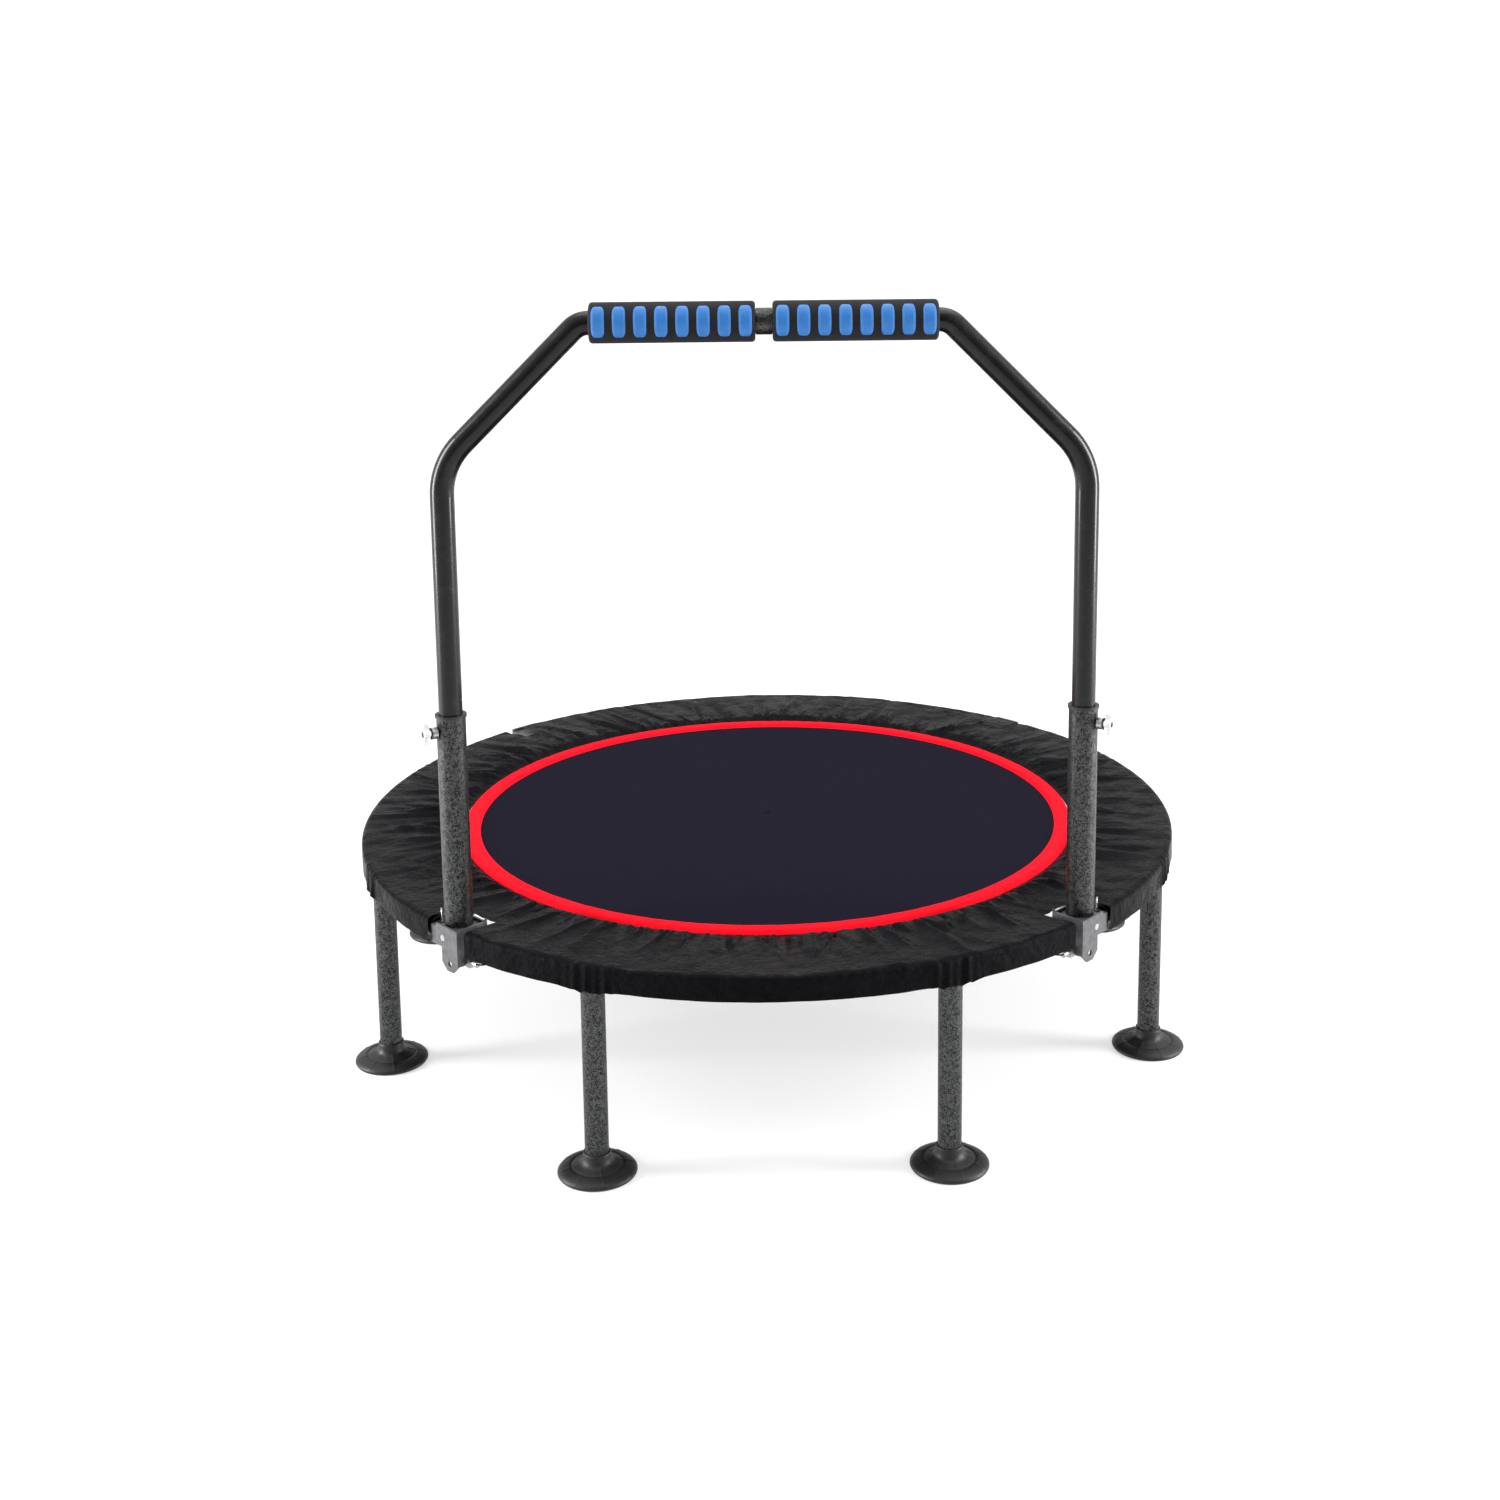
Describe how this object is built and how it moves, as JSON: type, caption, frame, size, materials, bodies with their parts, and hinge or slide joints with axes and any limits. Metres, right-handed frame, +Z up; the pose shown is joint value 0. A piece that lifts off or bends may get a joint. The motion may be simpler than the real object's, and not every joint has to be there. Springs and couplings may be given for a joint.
{
  "type": "mini trampoline",
  "caption": "Round fitness trampoline with a skirted black cover, red mat border, stub legs on rubber feet, fold hinges and an arched height-adjustable grab rail.",
  "frame": {"origin": "on the floor under the middle of the ring", "axes": "+Z up, handrail on the -Y side, user faces -Y"},
  "size_m": [1.02, 1.0198, 0.9247],
  "materials": {
    "hammertone": "silver-vein hammertone paint",
    "galvanised": "zinc plated sheet steel",
    "zinc_bolt": "zinc plated fasteners and springs",
    "black_tube": "glossy black powder coat",
    "black_plastic": "moulded black plastic",
    "white_plastic": "moulded off-white plastic",
    "foot_rubber": "moulded black rubber",
    "grip_foam": "closed-cell foam",
    "pad_blue": "soft blue rubber",
    "mat_fabric": "flat woven jumping mat",
    "red_fabric": "bright red padded binding",
    "cover_fabric": "black coated polyester with a satin sheen"
  },
  "bodies": {
    "frame_a": {"rim_arc_front": "hammertone", "rim_arc_left": "hammertone", "cover_a": "cover_fabric", "skirt_a": "cover_fabric", "springs_a": "zinc_bolt", "leg_spigots_a": "black_plastic", "hinge_pins_a": "zinc_bolt", "tab_bolts_a": "zinc_bolt", "clamp_nuts": "zinc_bolt", "hinge_box_front_left": "galvanised", "hinge_box_front_right": "galvanised", "hinge_tongue_front_left": "galvanised", "hinge_tongue_back_left": "galvanised", "post_left": "hammertone", "post_right": "hammertone", "post_bushing_left": "black_plastic", "post_bushing_right": "black_plastic", "leg_front_right": "hammertone", "leg_front_left": "hammertone", "leg_left_front": "hammertone", "leg_left_back": "hammertone", "foot_front_right": "foot_rubber", "foot_front_left": "foot_rubber", "foot_left_front": "foot_rubber", "foot_left_back": "foot_rubber"},
    "frame_b": {"rim_arc_right": "hammertone", "rim_arc_back": "hammertone", "cover_b": "cover_fabric", "skirt_b": "cover_fabric", "springs_b": "zinc_bolt", "leg_spigots_b": "black_plastic", "hinge_pins_b": "zinc_bolt", "tab_bolts_b": "zinc_bolt", "hinge_box_back_left": "galvanised", "hinge_box_back_right": "galvanised", "hinge_tongue_front_right": "galvanised", "hinge_tongue_back_right": "galvanised", "leg_back_left": "hammertone", "leg_back_right": "hammertone", "leg_right_back": "hammertone", "leg_right_front": "hammertone", "foot_back_left": "foot_rubber", "foot_back_right": "foot_rubber", "foot_right_back": "foot_rubber", "foot_right_front": "foot_rubber"},
    "mat_half_a": {"mat_a": "mat_fabric", "red_band_a": "red_fabric", "mat_rings_a": "zinc_bolt"},
    "mat_half_b": {"mat_b": "mat_fabric", "red_band_b": "red_fabric", "mat_rings_b": "zinc_bolt"},
    "handrail": {"upper_tube_left": "black_tube", "upper_tube_right": "black_tube", "rail_joiner": "hammertone", "grip_left": "grip_foam", "grip_right": "grip_foam", "grip_pads_left": "pad_blue", "grip_pads_right": "pad_blue"},
    "knob_l": {"knob_left": "white_plastic"},
    "knob_r": {"knob_right": "white_plastic"}
  },
  "joints": [
    {"name": "frame_fold", "type": "hinge", "parent": "frame_a", "child": "frame_b", "pos_m": [0, 0, 0.228], "axis": [-0.7071, 0.7071, 0], "range_deg": [0, 60]},
    {"name": "mat_bounce_a", "type": "slide", "parent": "frame_a", "child": "mat_half_a", "axis": [0, 0, 1], "range_m": [-0.06, 0], "stiffness_N_per_m": 4000, "deforming": ["springs_a"]},
    {"name": "mat_bounce_b", "type": "slide", "parent": "frame_b", "child": "mat_half_b", "axis": [0, 0, 1], "range_m": [-0.06, 0], "stiffness_N_per_m": 4000, "deforming": ["springs_b"]},
    {"name": "rail_slide", "type": "slide", "parent": "frame_a", "child": "handrail", "axis": [0, 0, 1], "range_m": [-0.165, 0]},
    {"name": "knob_turn_l", "type": "hinge", "parent": "frame_a", "child": "knob_l", "pos_m": [-0.34507, -0.34507, 0.46], "axis": [-0.891, -0.454, 0], "range_deg": [-360, 0]},
    {"name": "knob_turn_r", "type": "hinge", "parent": "frame_a", "child": "knob_r", "pos_m": [0.34507, -0.34507, 0.46], "axis": [0.891, -0.454, 0], "range_deg": [-360, 0]}
  ],
  "couplings": [
    {"joint": "mat_bounce_b", "follows": "mat_bounce_a", "ratio": 1}
  ]
}
